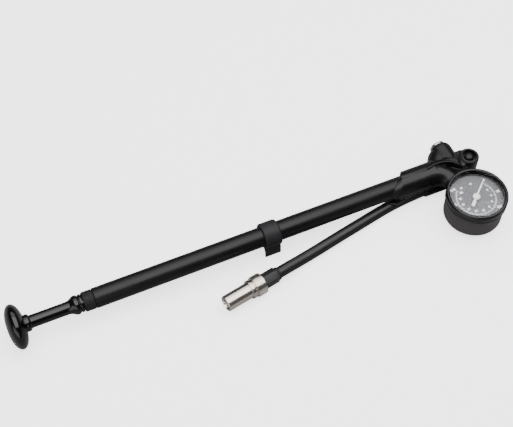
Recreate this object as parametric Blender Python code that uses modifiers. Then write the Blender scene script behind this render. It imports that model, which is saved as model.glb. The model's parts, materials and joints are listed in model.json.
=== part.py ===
"""Shock suspension pump: barrel and plunger, head with gauge and bleed valve, hose and valve chuck.

Everything is designed in the pump's own layout: x runs along the barrel from the knurled cap towards
the head, y points away from the gauge, z is up, and the pump lies on its knob and its gauge. The empty
"pump_layout" then puts the origin under the middle of the whole pump, without its hose.
"""

import math

import bmesh
import bpy
from mathutils import Matrix, Vector

MM = 0.001
GAP = 0.3 * MM
ROUND_STEPS = 32
FINE_STEPS = 16
DRILL_FACET = math.radians(3.3)

# Barrel and plunger
AXIS_Z = 14.0 * MM
BARREL_R = 6.35 * MM
BARREL_BORE_R = 5.35 * MM
BARREL_START_X = 6.5 * MM
BARREL_END_X = 221.0 * MM
CAP_R = 6.2 * MM
ROD_R = 3.0 * MM
KNOB_R = 14.0 * MM
KNOB_X = -41.4 * MM
KNOB_HALF_THICKNESS = 5.7 * MM
NECK_R = 4.05 * MM
PISTON_X = 204.5 * MM
BALL_R = 2.2 * MM
BALL_X = 218.35 * MM

# Hose clip
CLIP_X = (116.0 * MM, 127.2 * MM)
CLIP_R = 8.2 * MM
HOOK_Y = -2.0 * MM
HOOK_Z = 2.9 * MM
HOOK_R = 3.7 * MM
HOOK_WALL = 1.4 * MM
HOOK_FOOT_Z = 0.35 * MM
HOOK_TOP_Z = 8.4 * MM
HOOK_TAPER = 0.6 * MM
HOOK_LENGTH = 10.5 * MM

# Head
SLEEVE_R = 8.1 * MM
SLEEVE_CUT_X = 210.5 * MM
BODY_X = 231.0 * MM
BODY_R = 8.6 * MM
BODY_END_X = 256.0 * MM
BOSS_X = 250.8 * MM
BOSS_Z = 14.8 * MM
BOSS_R = 7.4 * MM
BOSS_END_Y = 16.4 * MM
FLARE_YAW = math.radians(-30.0)
ELBOW_R = 6.3 * MM
ELBOW_ROUTE = [
    (232.0, 0.0, 14.0),
    (237.0, -0.4, 14.0),
    (241.5, -2.6, 13.9),
    (244.8, -6.0, 13.6),
    (246.2, -10.5, 13.3),
    (246.5, -16.0, 13.0),
]
ELBOW_POINT_SPACING = 3.0 * MM
LOBE_X = 264.6 * MM
LOBE_Y = 1.0 * MM
LOBE_R = 6.3 * MM
LOBE_Z = (6.0 * MM, 18.9 * MM)
PLUG_END_Y = 18.8 * MM

# Gauge
GAUGE_X = 250.5 * MM
GAUGE_Y = -31.0 * MM
GAUGE_BACK_Z = 0.3 * MM
CASE_R = 18.7 * MM
BEZEL_R = 19.6 * MM
BEZEL_TOP_Z = 25.5 * MM
STEM_Z = 12.0 * MM
DIAL_Z = 18.9 * MM
DIAL_SCREWS = ((-5.0 * MM, 10.1 * MM), (1.9 * MM, 10.5 * MM))
NEEDLE_Z = 20.5 * MM
NEEDLE_TIP = 15.4 * MM
NEEDLE_TAIL = 7.8 * MM
HUB_R = 2.3 * MM
NEEDLE_REST = math.radians(42.0)
PINION_TEETH = 10
SECTOR_TEETH = 50
SECTOR_FIRST_TOOTH = -10
SECTOR_LAST_TOOTH = 2
GEAR_PITCH = 0.942 * MM
# A gap between two pinion teeth faces the sector gear, which has a tooth there
SECTOR_DIRECTION = NEEDLE_REST - 2.5 * 2 * math.pi / PINION_TEETH

# Hose and chuck
HOSE_R = 3.7 * MM
SOCKET_Y = -3.7 * MM
SOCKET_Z = 5.0 * MM
SOCKET_R = 4.7 * MM
HOSE_ROUTE = [
    (236.3, -3.7, 5.0),
    (231.0, -3.75, 4.95),
    (221.0, -4.05, 4.5),
    (212.0, -4.6, 4.1),
    (203.0, -5.7, 3.9),
    (195.0, -7.1, 3.8),
    (180.0, -10.1, 3.75),
    (164.7, -13.2, 3.75),
    (150.0, -16.3, 3.8),
    (141.0, -18.3, 4.15),
    (133.0, -20.2, 4.95),
    (125.0, -22.15, 6.0),
    (117.5, -23.95, 6.75),
    (112.0, -25.0, 6.85),
    (107.3, -25.9, 6.85),
]
HOSE_POINT_SPACING = 9.0 * MM
CHUCK_END = Vector((107.3 * MM, -25.9 * MM, 6.85 * MM))
CHUCK_YAW = math.radians(10.7)
NUT_R = 6.75 * MM
CHUCK_R = 5.1 * MM
CHUCK_BORE_R = 3.95 * MM

# The pump's extent without the hose and what is on it, which gives the origin
EXTENT_X = (KNOB_X - KNOB_HALF_THICKNESS, LOBE_X + LOBE_R)
EXTENT_Y = (GAUGE_Y - BEZEL_R, PLUG_END_Y)

ALONG_X = (0.0, math.pi / 2, 0.0)
ALONG_Y = (-math.pi / 2, 0.0, 0.0)
UPRIGHT = (0.0, 0.0, 0.0)


def clear_scene():
    for obj in list(bpy.data.objects):
        bpy.data.objects.remove(obj, do_unlink=True)


def new_collection(name):
    collection = bpy.data.collections.new(name)
    bpy.context.scene.collection.children.link(collection)
    return collection


def new_empty(name, parent, location, rotation=UPRIGHT):
    empty = bpy.data.objects.new(name, None)
    PARTS.objects.link(empty)
    empty.parent = parent
    empty.location = location
    empty.rotation_euler = rotation
    return empty


def material(name, colour, roughness, metallic=0.0, alpha=1.0):
    mat = bpy.data.materials.new(name)
    mat.use_nodes = True
    shader = mat.node_tree.nodes["Principled BSDF"]
    shader.inputs["Base Color"].default_value = (*colour, 1.0)
    shader.inputs["Roughness"].default_value = roughness
    shader.inputs["Metallic"].default_value = metallic
    shader.inputs["Alpha"].default_value = alpha
    return mat


def place(obj, parent, mat):
    """A visible part of the pump."""
    PARTS.objects.link(obj)
    obj.parent = parent
    obj.data.materials.append(mat)
    return obj


def place_tool(obj, parent):
    """A shape that only cuts or joins another."""
    TOOLS.objects.link(obj)
    obj.parent = parent
    obj.hide_render = True
    obj.display_type = "WIRE"
    return obj


def turned(name, profile, steps=ROUND_STEPS, closed=False, first_facet=0.0):
    """A solid turned about local z. The profile holds (z, radius) in mm, down the outer side first."""
    shape = bmesh.new()
    turn = Matrix.Rotation(first_facet, 4, "Z")
    points = [shape.verts.new(turn @ Vector((radius * MM, 0.0, z * MM))) for z, radius in profile]
    for first, second in zip(points, points[1:]):
        shape.edges.new((first, second))
    if closed:
        shape.edges.new((points[-1], points[0]))
    mesh = bpy.data.meshes.new(name)
    shape.to_mesh(mesh)
    shape.free()
    obj = bpy.data.objects.new(name, mesh)
    screw = obj.modifiers.new("turn", "SCREW")
    screw.axis = "Z"
    screw.steps = steps
    screw.render_steps = steps
    screw.use_merge_vertices = True
    screw.merge_threshold = 0.00001
    screw.use_smooth_shade = True
    screw.use_normal_calculate = False
    return obj


def drill(name, profile, steps=FINE_STEPS):
    """A turned cutter whose facets lie between those of the solid that it cuts."""
    return turned(name, profile, steps, first_facet=DRILL_FACET)


def rod_profile(start, end, radius):
    return [(end, 0.0), (end, radius), (start, radius), (start, 0.0)]


def ring_profile(start, end, inner, outer):
    return [(end, inner), (end, outer), (start, outer), (start, inner)]


def ring(name, start, end, inner, outer, steps=ROUND_STEPS):
    return turned(name, ring_profile(start, end, inner, outer), steps, closed=True)


def block(name, low, high, rounding=0.0):
    """A box between two corners, in mm, with its edges rounded."""
    shape = bmesh.new()
    bmesh.ops.create_cube(shape, size=1.0)
    size = [(b - a) * MM for a, b in zip(low, high)]
    middle = [(a + b) / 2 * MM for a, b in zip(low, high)]
    bmesh.ops.transform(shape, matrix=Matrix.Diagonal((*size, 1.0)), verts=shape.verts)
    bmesh.ops.translate(shape, vec=middle, verts=shape.verts)
    mesh = bpy.data.meshes.new(name)
    shape.to_mesh(mesh)
    shape.free()
    obj = bpy.data.objects.new(name, mesh)
    if rounding:
        bevel = obj.modifiers.new("round", "BEVEL")
        bevel.width = rounding * MM
        bevel.segments = 3
    return obj


def combine(obj, tool, operation):
    boolean = obj.modifiers.new(f"{operation.lower()}_{tool.name}"[:60], "BOOLEAN")
    boolean.operation = operation
    boolean.object = tool


def flat_outline(name, points, thickness):
    """A flat plate with this outline in local x and y, its middle plane at z = 0, in metres."""
    curve = bpy.data.curves.new(name, "CURVE")
    curve.dimensions = "2D"
    curve.fill_mode = "BOTH"
    curve.extrude = thickness / 2
    spline = curve.splines.new("POLY")
    spline.points.add(len(points) - 1)
    for point, (x, y) in zip(spline.points, points):
        point.co = (x, y, 0.0, 1.0)
    spline.use_cyclic_u = True
    return bpy.data.objects.new(name, curve)


def tube(name, points, radius, resolution):
    curve = bpy.data.curves.new(name, "CURVE")
    curve.dimensions = "3D"
    curve.bevel_depth = radius
    curve.bevel_resolution = resolution
    curve.use_fill_caps = True
    spline = curve.splines.new("POLY")
    spline.points.add(len(points) - 1)
    for point, place_on_path in zip(spline.points, points):
        point.co = (*place_on_path, 1.0)
    return bpy.data.objects.new(name, curve)


def as_mesh(obj):
    """The curve object as a closed mesh object, which can be cut."""
    bpy.context.view_layer.update()
    evaluated = obj.evaluated_get(bpy.context.evaluated_depsgraph_get())
    mesh = bpy.data.meshes.new_from_object(evaluated)
    shape = bmesh.new()
    shape.from_mesh(mesh)
    bmesh.ops.remove_doubles(shape, verts=shape.verts, dist=0.000005)
    bmesh.ops.recalc_face_normals(shape, faces=shape.faces)
    shape.to_mesh(mesh)
    shape.free()
    name = obj.name
    solid = bpy.data.objects.new(name, mesh)
    solid.matrix_world = obj.matrix_world.copy()
    for collection in list(obj.users_collection):
        collection.objects.unlink(obj)
    bpy.data.objects.remove(obj)
    solid.name = name
    return solid


def outline_solid(name, points, thickness, base, rotation=UPRIGHT):
    """A flat outline made a mesh, standing on z = base before it is turned."""
    curve = flat_outline(name, points, thickness)
    TOOLS.objects.link(curve)
    solid = as_mesh(curve)
    solid.data.transform(Matrix.Translation((0.0, 0.0, base + thickness / 2)))
    solid.rotation_euler = rotation
    return solid


def arc(radius, start, end, count, centre=(0.0, 0.0)):
    """Points on an arc, its angles in radians."""
    found = []
    for index in range(count + 1):
        angle = start + (end - start) * index / count
        found.append((centre[0] + radius * math.cos(angle), centre[1] + radius * math.sin(angle)))
    return found


def smooth_path(points, spacing):
    """A smooth curve through the points, in metres, sampled about every `spacing`."""
    ends = [points[0] * 2 - points[1]] + points + [points[-1] * 2 - points[-2]]
    path = []
    for a, b, c, d in zip(ends, ends[1:], ends[2:], ends[3:]):
        count = max(1, round((c - b).length / spacing))
        for index in range(count):
            t = index / count
            quadratic = 2 * a - 5 * b + 4 * c - d
            cubic = 3 * b - a - 3 * c + d
            path.append(b + 0.5 * ((c - a) * t + quadratic * t**2 + cubic * t**3))
    path.append(points[-1])
    return path


def helix(radius, start, end, turns, per_turn):
    count = round(turns * per_turn)
    points = []
    for index in range(count + 1):
        angle = 2 * math.pi * turns * index / count
        z = start + (end - start) * index / count
        points.append(Vector((radius * math.cos(angle), radius * math.sin(angle), z)))
    return points


def make_barrel(axis):
    barrel = ring("barrel_tube", BARREL_START_X / MM, BARREL_END_X / MM, BARREL_BORE_R / MM, BARREL_R / MM)
    place(barrel, axis, BLACK_ANODISED)
    rod_clear = (ROD_R + GAP) / MM
    thread_r = (BARREL_BORE_R - GAP) / MM
    cap_r = CAP_R / MM
    cap = turned(
        "barrel_end_cap",
        [(14.0, 4.6), (14.0, thread_r), (6.2, thread_r), (6.2, cap_r - 0.2), (6.0, cap_r), (-0.1, cap_r)]
        + [(-0.4, cap_r - 0.3), (-0.4, 4.9), (4.0, 4.9), (4.0, rod_clear), (6.0, rod_clear), (6.0, 4.6)],
        closed=True,
    )
    place(cap, axis, MATT_BLACK)
    place(ring("rod_wiper_seal", 0.0, 3.7, rod_clear, 4.6), axis, RUBBER)
    place(ring("rod_guide_bush", 6.3, 13.8, rod_clear, 4.3), axis, BRONZE)


def make_plunger(axis):
    half = KNOB_HALF_THICKNESS / MM
    middle = KNOB_X / MM
    neck_r = NECK_R / MM
    rod_clear = (ROD_R + GAP) / MM
    sides = 11
    dome = []
    for index in range(sides + 1):
        angle = math.pi * (0.08 + 0.92 * index / sides)
        dome.append((middle + half * math.cos(angle), KNOB_R / MM * math.sin(angle) ** 0.8))
    dome[-1] = (middle - half, 0.0)
    bore = [(middle - 1.0, 0.0), (middle - 1.0, rod_clear), (dome[0][0], rod_clear)]
    place(turned("handle_knob", bore + dome), axis, GLOSS_BLACK)
    neck = turned(
        "handle_neck",
        [(-0.8, 5.2), (-1.1, 5.6), (-2.3, 5.6), (-2.7, 5.3), (-3.0, 5.1), (-3.4, 5.7), (-4.2, 6.0)]
        + [(-5.4, 5.95), (-6.6, 5.4), (-7.9, 4.6), (-9.4, neck_r), (-32.8, neck_r), (-33.2, 4.5)]
        + [(-33.6, 5.3), (-34.7, 5.5), (-35.1, 5.2), (-35.5, 4.9), (-35.5, rod_clear), (-0.8, rod_clear)],
        closed=True,
    )
    place(neck, axis, GLOSS_BLACK)
    start = PISTON_X / MM
    tip = start + 4.5
    rod_r = ROD_R / MM
    rod_profile_points = [(tip, 0.0), (tip, 2.0), (start - 0.3, 2.0), (start - 0.3, rod_r)]
    rod_profile_points += [(middle - 0.6, rod_r), (middle - 0.6, 0.0)]
    place(turned("plunger_rod", rod_profile_points), axis, POLISHED_STEEL)
    piston_r = (BARREL_BORE_R - GAP) / MM
    piston = turned(
        "piston",
        [(start + 8.9, 0.0), (start + 8.9, piston_r - 0.2), (start + 8.6, piston_r)]
        + [(start + 6.1, piston_r), (start + 6.1, 3.9), (start + 3.4, 3.9), (start + 3.4, piston_r)]
        + [(start, piston_r), (start, 2.3), (tip + 0.3, 2.3), (tip + 0.3, 0.0)],
    )
    place(piston, axis, BLACK_PLASTIC)
    seal = ring("piston_seal", start + 3.6, start + 5.9, 4.2, BARREL_BORE_R / MM - 0.1)
    place(seal, axis, RUBBER)


def make_check_valve(axis, ball_axis):
    seat_r = (BARREL_BORE_R - GAP) / MM
    seat = turned(
        "check_valve_seat",
        [(220.8, 3.0), (220.8, seat_r), (214.0, seat_r), (214.0, 1.6), (216.4, 1.6), (217.2, 3.0)],
        closed=True,
    )
    place(seat, axis, BRASS)
    place(ring("barrel_gasket", 221.3, 222.3, 3.4, 6.3), axis, RUBBER)
    coil = tube("check_valve_spring", helix(2.1 * MM, 220.4 * MM, 225.6 * MM, 4.5, 10), 0.25 * MM, 1)
    place(coil, axis, POLISHED_STEEL)
    radius = BALL_R / MM
    profile = [(radius, 0.0)] + arc(radius, math.pi / 10, math.pi * 9 / 10, 8) + [(-radius, 0.0)]
    place(turned("check_valve_ball", profile, FINE_STEPS), ball_axis, POLISHED_STEEL)


def make_clip(axis):
    start, end = (x / MM for x in CLIP_X)
    outer_r = CLIP_R / MM
    inner_r = outer_r - 1.5
    clip = turned(
        "hose_clip",
        [(end - 0.6, inner_r), (end, outer_r - 0.9), (end - 0.9, outer_r)]
        + [(start + 0.4, outer_r), (start, outer_r - 0.4), (start, inner_r)],
        closed=True,
    )
    clip.rotation_euler = ALONG_X
    place(clip, axis, GREY_PLASTIC)
    outer = HOOK_R + HOOK_WALL
    shoulder = outer - HOOK_TAPER
    inner_arc = arc(HOOK_R, math.pi, 0.0, 12, (HOOK_Y, HOOK_Z))
    points = [(HOOK_Y - outer, HOOK_FOOT_Z), (HOOK_Y - outer, HOOK_Z), (HOOK_Y - shoulder, HOOK_TOP_Z)]
    points += [(HOOK_Y + shoulder, HOOK_TOP_Z), (HOOK_Y + outer, HOOK_Z), (HOOK_Y + outer, HOOK_FOOT_Z)]
    points += [(HOOK_Y + HOOK_R, HOOK_FOOT_Z)] + inner_arc[::-1] + [(HOOK_Y - HOOK_R, HOOK_FOOT_Z)]
    hook = outline_solid("clip_hook", points, HOOK_LENGTH, 0.0)
    turn = Matrix.Rotation(math.pi / 2, 4, "Z") @ Matrix.Rotation(math.pi / 2, 4, "X")
    hook.data.transform(turn)
    hook.data.transform(Matrix.Translation((start * MM, 0.0, -AXIS_Z)))
    place_tool(hook, axis)
    combine(clip, hook, "UNION")
    bore = drill("clip_bore", rod_profile(start - 2, end + 2, BARREL_R / MM + 0.3), ROUND_STEPS)
    bore.rotation_euler = ALONG_X
    place_tool(bore, axis)
    combine(clip, bore, "DIFFERENCE")


def add_shape(body, tool, parent, operation, location=(0.0, 0.0, 0.0), rotation=UPRIGHT):
    tool.location = location
    tool.rotation_euler = rotation
    place_tool(tool, parent)
    combine(body, tool, operation)


def make_head_body(layout, hose_path):
    """The head's casting: sleeve over the barrel, branches for gauge, valve plug, bleed button and hose."""
    on_axis = (0.0, 0.0, AXIS_Z)
    body_r = BODY_R / MM
    head = turned(
        "head_body",
        [(BODY_END_X / MM, 0.0), (BODY_END_X / MM, 6.0), (253.5, body_r), (BODY_X / MM, body_r)]
        + [(BODY_X / MM - 0.4, SLEEVE_R / MM), (201.0, SLEEVE_R / MM), (201.0, 0.0)],
    )
    head.location = on_axis
    head.rotation_euler = ALONG_X
    place(head, layout, BLACK_HEAD)

    end_y = BOSS_END_Y / MM
    boss_r = BOSS_R / MM
    boss = turned(
        "head_boss",
        [(end_y, 0.0), (end_y, boss_r - 1.3), (end_y - 0.5, boss_r - 0.4), (end_y - 1.5, boss_r)]
        + [(-2.0, boss_r), (-2.0, 0.0)],
    )
    add_shape(head, boss, layout, "UNION", (BOSS_X, 0.0, BOSS_Z), ALONG_Y)
    flare = turned(
        "head_boss_flare", [(14.5, 0.0), (14.5, 5.4), (12.5, 6.8), (0.0, 7.5), (-2.0, 7.5), (-2.0, 0.0)]
    )
    flare_root = (BOSS_X - 9.2 * MM, 0.0, BOSS_Z - 0.35 * MM)
    add_shape(head, flare, layout, "UNION", flare_root, (-math.pi / 2, 0.0, FLARE_YAW))
    low, high = (z / MM for z in LOBE_Z)
    lobe_r = LOBE_R / MM
    lobe = turned(
        "head_lobe",
        [(high - 0.5, 0.0), (high - 0.5, 4.6), (high, 4.8), (high, 5.6), (high - 0.7, lobe_r)]
        + [(low + 0.8, lobe_r), (low, lobe_r - 0.7), (low, 0.0)],
    )
    add_shape(head, lobe, layout, "UNION", (LOBE_X, LOBE_Y, 0.0))
    web = block("head_web", (250.0, -4.5, 8.6), (264.0, 10.5, 17.7), 1.5)
    add_shape(head, web, layout, "UNION")
    arm = block("head_gauge_arm", (244.0, -16.0, 6.4), (257.2, 2.0, 17.4), 2.0)
    add_shape(head, arm, layout, "UNION")
    elbow_route = smooth_path([Vector(point) * MM for point in ELBOW_ROUTE], ELBOW_POINT_SPACING)
    elbow = tube("head_elbow", elbow_route, ELBOW_R, 5)
    TOOLS.objects.link(elbow)
    add_shape(head, as_mesh(elbow), layout, "UNION")
    socket_r = SOCKET_R / MM
    socket = turned(
        "head_hose_socket",
        [(249.0, 0.0), (249.0, socket_r - 1.1), (247.5, socket_r), (229.6, socket_r), (229.6, 0.0)],
    )
    add_shape(head, socket, layout, "UNION", (0.0, SOCKET_Y, SOCKET_Z), ALONG_X)

    bezel_room = (BEZEL_R + GAP) / MM
    case_room = (CASE_R + GAP) / MM
    gauge_room = turned(
        "gauge_room",
        [(40.0, 0.0), (40.0, bezel_room), (18.7, bezel_room), (18.7, case_room), (-5.0, case_room)]
        + [(-5.0, 0.0)],
    )
    add_shape(head, gauge_room, layout, "DIFFERENCE", (GAUGE_X, GAUGE_Y, 0.0))
    slant = block("sleeve_slant", (-30.0, -30.0, -20.0), (0.0, 30.0, 40.0))
    add_shape(head, slant, layout, "DIFFERENCE", (SLEEVE_CUT_X, 0.0, 0.0), (0.0, 0.0, -math.pi / 4))
    bore_r = (BARREL_R + GAP) / MM
    bore = drill(
        "barrel_bore",
        [(252.0, 0.0), (252.0, 1.5), (226.0, 1.5), (226.0, 3.0), (222.6, 3.0), (222.6, bore_r)]
        + [(190.0, bore_r), (190.0, 0.0)],
        ROUND_STEPS,
    )
    add_shape(head, bore, layout, "DIFFERENCE", on_axis, ALONG_X)
    chamber = drill("valve_chamber", rod_profile(-1.0, 30.0, 3.6))
    add_shape(head, chamber, layout, "DIFFERENCE", (BOSS_X, 0.0, BOSS_Z), ALONG_Y)
    stem_bore = drill(
        "stem_bore", [(0.5, 0.0), (0.5, 1.4), (-4.0, 1.4), (-4.0, 4.3), (-30.0, 4.3), (-30.0, 0.0)]
    )
    add_shape(head, stem_bore, layout, "DIFFERENCE", (GAUGE_X, 0.0, STEM_Z), ALONG_Y)
    bleed_bore = drill(
        "bleed_bore",
        [(30.0, 0.0), (30.0, 4.1), (16.4, 3.9), (16.4, 2.7), (13.4, 2.7), (13.4, 1.5)]
        + [(12.6, 1.5), (12.6, 2.7), (7.5, 2.7), (7.5, 0.0)],
    )
    add_shape(head, bleed_bore, layout, "DIFFERENCE", (LOBE_X, LOBE_Y, 0.0))
    bleed_way = drill("bleed_way", rod_profile(252.5, 264.0, 1.1), 16)
    add_shape(head, bleed_way, layout, "DIFFERENCE", (0.0, 0.0, 11.3 * MM), ALONG_X)
    bleed_rise = drill("bleed_rise", rod_profile(11.0, 13.7, 1.0), 16)
    add_shape(head, bleed_rise, layout, "DIFFERENCE", (253.6 * MM, 0.0, 0.0))
    socket_bore = drill(
        "hose_socket_bore",
        [(246.0, 0.0), (246.0, 2.6), (238.6, 2.6), (238.6, 4.05), (228.3, 4.05), (228.3, 0.0)],
    )
    add_shape(head, socket_bore, layout, "DIFFERENCE", (0.0, SOCKET_Y, SOCKET_Z), ALONG_X)
    hose_rise = drill("hose_rise", rod_profile(5.4, 13.6, 1.2), 16)
    add_shape(head, hose_rise, layout, "DIFFERENCE", (244.0 * MM, -2.0 * MM, 0.0))
    groove = tube("hose_groove", [p for p in hose_path if 190 * MM < p.x < 234 * MM], HOSE_R + 0.5 * MM, 4)
    TOOLS.objects.link(groove)
    groove = as_mesh(groove)
    add_shape(head, groove, layout, "DIFFERENCE")


def make_head_fittings(layout):
    end = PLUG_END_Y / MM
    plug = turned(
        "valve_plug",
        [(end, 0.0), (end, 4.6), (end - 0.5, 5.2), (end - 2.0, 5.2), (end - 2.1, 3.3), (9.0, 3.3)]
        + [(8.0, 2.4), (8.0, 0.0)],
        FINE_STEPS,
    )
    plug.location = (BOSS_X, 0.0, BOSS_Z)
    plug.rotation_euler = ALONG_Y
    place(plug, layout, NICKEL)
    stem = ring("gauge_stem", -14.6, -4.4, 0.9, 4.0, FINE_STEPS)
    stem.location = (GAUGE_X, 0.0, STEM_Z)
    stem.rotation_euler = ALONG_Y
    place(stem, layout, BRASS)
    fitting = turned(
        "hose_fitting",
        [(245.5, 0.9), (245.5, 2.3), (238.2, 2.3), (238.2, 3.7), (236.7, 3.7), (236.7, 0.9)],
        FINE_STEPS,
        closed=True,
    )
    fitting.location = (0.0, SOCKET_Y, SOCKET_Z)
    fitting.rotation_euler = ALONG_X
    place(fitting, layout, BRASS)


def make_bleed_valve(layout, button_axis):
    button = turned(
        "bleed_button",
        [(19.2, 0.0), (19.05, 1.3), (18.5, 2.4), (17.9, 3.0), (17.3, 3.2), (17.2, 2.4), (15.3, 2.4)]
        + [(15.3, 1.1), (12.2, 1.1), (12.2, 2.3), (11.4, 2.3), (11.4, 0.0)],
        FINE_STEPS,
    )
    place(button, button_axis, BLACK_PLASTIC)
    spring = tube("bleed_spring", helix(1.85 * MM, 13.8 * MM, 14.9 * MM, 2.5, 12), 0.2 * MM, 1)
    spring.location = (LOBE_X, LOBE_Y, 0.0)
    place(spring, layout, POLISHED_STEEL)


def make_gauge_case(axis):
    case_r = CASE_R / MM
    back_z = GAUGE_BACK_Z / MM
    case = turned(
        "gauge_case",
        [(back_z + 1.2, 0.0), (back_z + 1.2, 13.8), (5.2, 14.2), (5.2, case_r - 1.2), (21.9, case_r - 1.2)]
        + [(21.9, case_r), (4.7, case_r), (4.2, case_r - 0.4), (4.0, case_r - 1.0), (3.8, 15.3)]
        + [(3.4, 15.0), (back_z + 0.3, 15.0), (back_z, 14.7), (back_z, 0.0)],
    )
    place(case, axis, BLACK_CASE)
    window = drill("stem_window", rod_profile(16.0, 24.0, 4.3))
    add_shape(case, window, axis, "DIFFERENCE", (0.0, 0.0, STEM_Z), ALONG_Y)
    rim_z = BEZEL_TOP_Z / MM
    rim_r = BEZEL_R / MM
    bezel = turned(
        "gauge_bezel",
        [(rim_z - 1.9, 17.3), (rim_z - 0.4, 17.6), (rim_z, 18.2), (rim_z - 0.1, 19.0), (rim_z - 0.5, 19.5)]
        + [(rim_z - 1.3, rim_r), (rim_z - 1.7, rim_r - 0.25), (rim_z - 2.1, rim_r), (19.3, rim_r)]
        + [(19.0, rim_r - 0.2), (19.0, 19.0), (rim_z - 1.9, 19.0)],
        closed=True,
    )
    place(bezel, axis, GLOSS_BLACK)
    place(turned("gauge_lens", rod_profile(22.2, 23.3, 18.6)), axis, CLEAR)
    dial = ring("gauge_dial", DIAL_Z / MM, DIAL_Z / MM + 0.6, 0.9, 17.2)
    place(dial, axis, DIAL_GREY)
    for number, (x, y) in enumerate(DIAL_SCREWS, 1):
        screw = turned(f"dial_screw_{number}", [(20.2, 0.0), (20.2, 0.6), (19.8, 0.8), (19.8, 0.0)], 12)
        screw.location = (x, y, 0.0)
        place(screw, axis, CREAM)


def gear_outline(teeth, start_tooth, end_tooth, hub_points):
    """The outline of a toothed wheel, or of its teeth from one number to another about angle 0."""
    pitch_r = GEAR_PITCH * teeth / (2 * math.pi)
    tip_r = pitch_r + 0.26 * MM
    root_r = pitch_r - 0.4 * MM
    root_half = 0.27 * MM / root_r
    tip_half = 0.09 * MM / tip_r
    step = 2 * math.pi / teeth
    points = []
    for tooth in range(start_tooth, end_tooth):
        angle = tooth * step
        corners = [(root_r, -root_half), (tip_r, -tip_half), (tip_r, tip_half), (root_r, root_half)]
        for radius, offset in corners:
            points.append((radius * math.cos(angle + offset), radius * math.sin(angle + offset)))
    return points + hub_points


def make_gauge_works(axis, needle_axis, sector_axis):
    works_z = 10.3 * MM
    works_thickness = 0.8 * MM
    plate = block("movement_plate", (-6.0, -12.0, 8.6), (10.0, 5.0, 9.4))
    place(plate, axis, BRASS)
    arbor_holes = (("needle_arbor_hole", Vector(), 0.8), ("sector_arbor_hole", sector_axis.location, 0.9))
    for name, spot, radius in arbor_holes:
        hole = drill(name, rod_profile(5.0, 12.0, radius))
        add_shape(plate, hole, axis, "DIFFERENCE", spot)
    bourdon = tube(
        "bourdon_tube",
        [Vector((x, y, 13.8 * MM)) for x, y in arc(14.3 * MM, math.radians(115), math.radians(350), 22)],
        1.1 * MM,
        2,
    )
    place(bourdon, axis, BRASS)
    block_part = block("bourdon_block", (-4.0, 12.3, 8.0), (4.0, 15.9, 16.0))
    place(block_part, axis, BRASS)

    upper = [(NEEDLE_TIP, 0.35 * MM), (0.0, 0.75 * MM), (-4.0 * MM, 1.0 * MM), (-NEEDLE_TAIL, 1.0 * MM)]
    points = upper + [(x, -y) for x, y in reversed(upper)]
    needle = outline_solid("gauge_needle", points, 0.5 * MM, NEEDLE_Z)
    place(needle, needle_axis, CREAM)
    hub_r = HUB_R / MM
    hub = drill("needle_hub", [(21.4, 0.0), (21.4, hub_r - 0.4), (21.1, hub_r), (20.3, hub_r), (20.3, 0.0)])
    add_shape(needle, hub, needle_axis, "UNION")

    pinion_teeth = gear_outline(PINION_TEETH, 0, PINION_TEETH, [])
    pinion = outline_solid("needle_pinion", pinion_teeth, works_thickness, works_z)
    place(pinion, needle_axis, BRASS)
    arbor = drill("pinion_arbor", rod_profile(8.0, 19.9, 0.5), 12)
    add_shape(pinion, arbor, needle_axis, "UNION")

    body = [(1.4 * MM, 1.5 * MM), (-1.5 * MM, 1.1 * MM), (-3.5 * MM, 0.7 * MM), (-3.5 * MM, -0.7 * MM)]
    body += [(-1.4 * MM, -1.4 * MM)]
    teeth = gear_outline(SECTOR_TEETH, SECTOR_FIRST_TOOTH, SECTOR_LAST_TOOTH + 1, body)
    sector = outline_solid("sector_gear", teeth, works_thickness, works_z)
    place(sector, sector_axis, BRASS)
    sector_arbor = drill("sector_arbor", rod_profile(8.0, 12.5, 0.6), 12)
    add_shape(sector, sector_arbor, sector_axis, "UNION")


def make_hose_end(axis):
    """The crimped ferrule and stem, fixed to the hose. Local z runs from the hose's end to the mouth."""
    hexagon = arc(5.2 * MM, math.radians(30), math.radians(330), 5)
    ferrule = outline_solid("hose_ferrule", hexagon, 9.7 * MM, -7.7 * MM)
    place(ferrule, axis, BLACK_METAL)
    bore_r = (HOSE_R + GAP) / MM
    bore = drill(
        "ferrule_bore", [(5.0, 0.0), (5.0, 2.3), (0.3, 2.3), (0.3, bore_r), (-12.0, bore_r), (-12.0, 0.0)]
    )
    add_shape(ferrule, bore, axis, "DIFFERENCE")
    stem = turned(
        "chuck_stem",
        [(17.0, 0.0), (17.0, 0.9), (11.6, 0.9), (11.6, 2.6), (9.2, 2.6), (9.2, 4.1), (6.6, 4.1), (6.6, 2.0)]
        + [(0.7, 2.0), (0.7, 0.0)],
        FINE_STEPS,
    )
    place(stem, axis, BRASS)


def make_chuck(axis):
    nut_r = NUT_R / MM
    nut = turned(
        "chuck_nut",
        [(12.4, 5.4), (12.4, 5.8), (12.1, 6.05), (10.3, 6.05), (10.0, 5.7), (9.4, 5.7), (9.1, nut_r - 0.3)]
        + [(8.7, nut_r), (2.8, nut_r), (2.4, nut_r - 0.4), (2.4, 2.4), (6.2, 2.4), (6.2, 4.6), (9.6, 4.6)]
        + [(9.6, 5.4)],
        closed=True,
    )
    place(nut, axis, NICKEL)
    bore = CHUCK_BORE_R / MM
    outer = CHUCK_R / MM
    body = turned(
        "chuck_tube",
        [(29.6, bore + 0.3), (29.6, outer - 0.4), (29.2, outer), (10.0, outer), (10.0, bore), (29.2, bore)],
        closed=True,
    )
    place(body, axis, NICKEL)
    place(ring("chuck_seal", 12.0, 15.0, 1.3, 3.65, FINE_STEPS), axis, RUBBER)


clear_scene()
PARTS = new_collection("shock_suspension_pump")
TOOLS = new_collection("cutters")

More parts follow.
